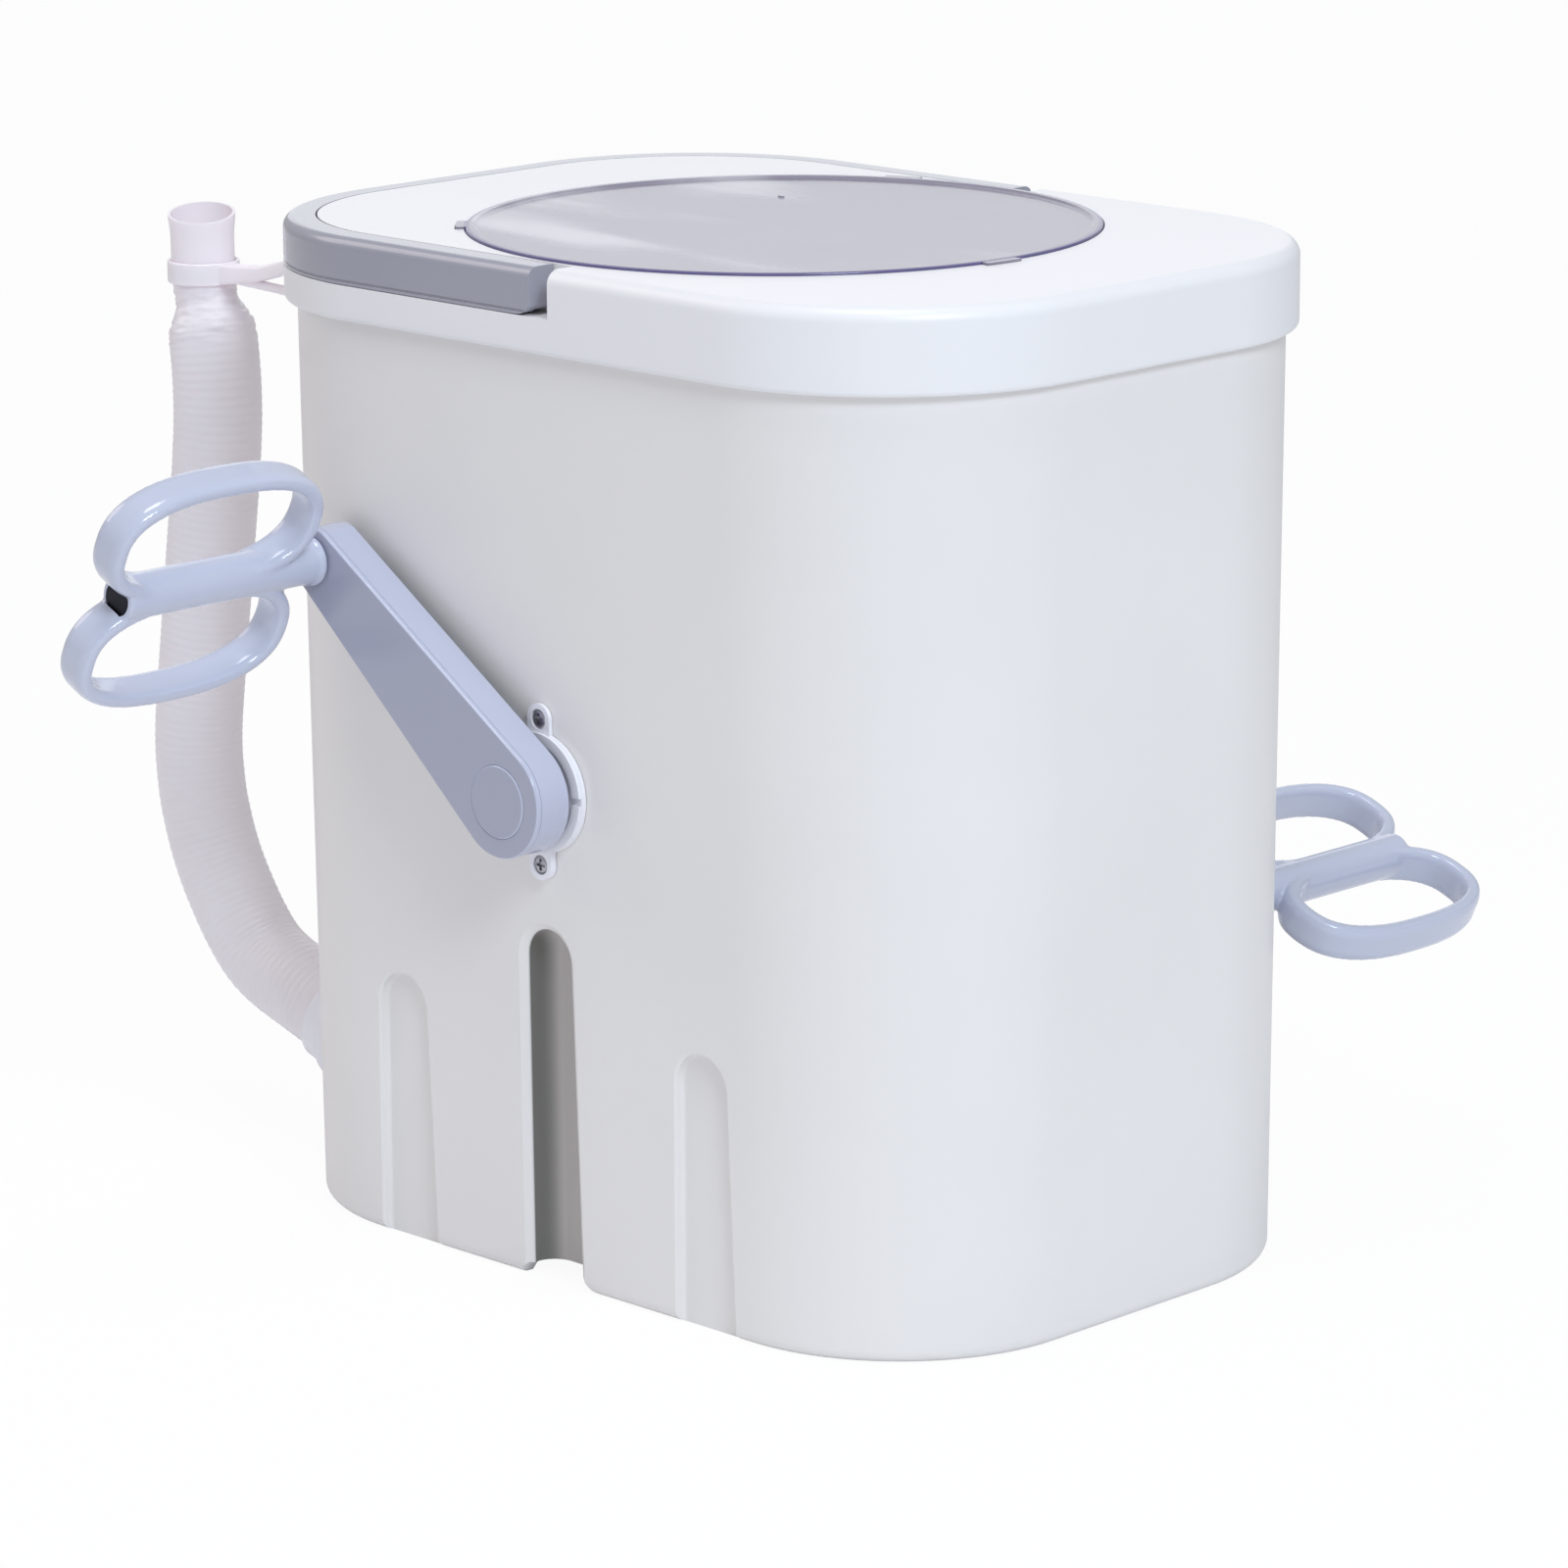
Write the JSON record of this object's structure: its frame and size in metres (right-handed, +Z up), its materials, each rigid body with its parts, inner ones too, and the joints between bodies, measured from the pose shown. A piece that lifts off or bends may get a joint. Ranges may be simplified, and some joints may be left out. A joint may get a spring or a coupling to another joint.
{
  "type": "manual washing machine",
  "caption": "Oblong white bucket washer with a lift-out clear cover, swinging carry handle, crank arms with looped pedals, a bevel-geared spin basket and a ribbed drain hose.",
  "frame": {"origin": "middle of the standing plane under the bucket, below the output shaft's axis", "axes": "+Z up along the output shaft; +X along the bucket's long side, away from the hose; +Y along the crank shaft towards the rear crank"},
  "size_m": [0.4949, 0.534, 0.4012],
  "materials": {
    "white_plastic": "satin white",
    "deck_plastic": "satin cool white",
    "grey_plastic": "satin mid grey",
    "blue_grey_plastic": "semi-gloss blue grey",
    "clear_plastic": "smoky clear",
    "hose_plastic": "milky, slightly see-through",
    "basket_plastic": "moulded",
    "housing_plastic": "moulded",
    "gear_plastic": "moulded, greased",
    "dark_rubber": "matte",
    "bush_plastic": "smooth",
    "steel": "machined"
  },
  "bodies": {
    "base": {"outer_bucket": "white_plastic", "top_frame": "deck_plastic", "handle_pivot_front": "steel", "handle_pivot_rear": "steel", "hose_clip": "white_plastic", "drain_spigot": "white_plastic", "spigot_nut": "white_plastic", "spigot_gasket": "dark_rubber", "drain_hose": "hose_plastic", "gear_housing_lower": "housing_plastic", "gear_housing_upper": "housing_plastic", "output_bush": "bush_plastic", "output_seal": "dark_rubber", "bearing_flange_front": "white_plastic", "shaft_bush_front": "bush_plastic", "shaft_seal_front": "dark_rubber", "flange_screw_front_upper": "steel", "flange_screw_front_lower": "steel", "bearing_flange_rear": "white_plastic", "shaft_bush_rear": "bush_plastic", "shaft_seal_rear": "dark_rubber", "flange_screw_rear_upper": "steel", "flange_screw_rear_lower": "steel", "housing_screw_1": "steel", "housing_screw_2": "steel", "housing_screw_3": "steel", "housing_screw_4": "steel"},
    "cover": {"clear_cover": "clear_plastic", "cover_seal": "dark_rubber"},
    "handle": {"carry_handle": "grey_plastic"},
    "crank": {"crank_shaft": "steel", "bevel_wheel": "gear_plastic", "crank_arm_front": "blue_grey_plastic", "crank_arm_rear": "blue_grey_plastic", "crank_cap_front": "blue_grey_plastic", "crank_cap_rear": "blue_grey_plastic", "crank_bolt_front": "steel", "crank_bolt_rear": "steel", "pedal_axle_front": "steel", "pedal_axle_rear": "steel"},
    "pedal_front_body": {"pedal_front": "blue_grey_plastic"},
    "pedal_rear_body": {"pedal_rear": "blue_grey_plastic"},
    "basket": {"bevel_pinion": "gear_plastic", "output_shaft": "steel", "wash_basket": "basket_plastic", "basket_hub": "basket_plastic", "basket_nut": "steel"}
  },
  "joints": [
    {"name": "crank_spin", "type": "hinge", "parent": "base", "child": "crank", "pos_m": [0, 0, 0.198], "axis": [0, 1, 0], "continuous": true},
    {"name": "basket_spin", "type": "hinge", "parent": "base", "child": "basket", "pos_m": [0, 0, 0.3], "axis": [0, 0, 1], "continuous": true},
    {"name": "pedal_front_spin", "type": "hinge", "parent": "crank", "child": "pedal_front_body", "pos_m": [-0.10234, -0.2161, 0.27653], "axis": [0, 1, 0], "continuous": true},
    {"name": "pedal_rear_spin", "type": "hinge", "parent": "crank", "child": "pedal_rear_body", "pos_m": [0.10234, 0.2161, 0.11947], "axis": [0, 1, 0], "continuous": true},
    {"name": "handle_lift", "type": "hinge", "parent": "base", "child": "handle", "pos_m": [-0.004, 0, 0.3908], "axis": [0, 1, 0], "range_deg": [0, 95]},
    {"name": "cover_lift", "type": "slide", "parent": "base", "child": "cover", "axis": [0, 0, 1], "range_m": [0, 0.095]}
  ],
  "couplings": [
    {"joint": "basket_spin", "follows": "crank_spin", "ratio": -3}
  ]
}
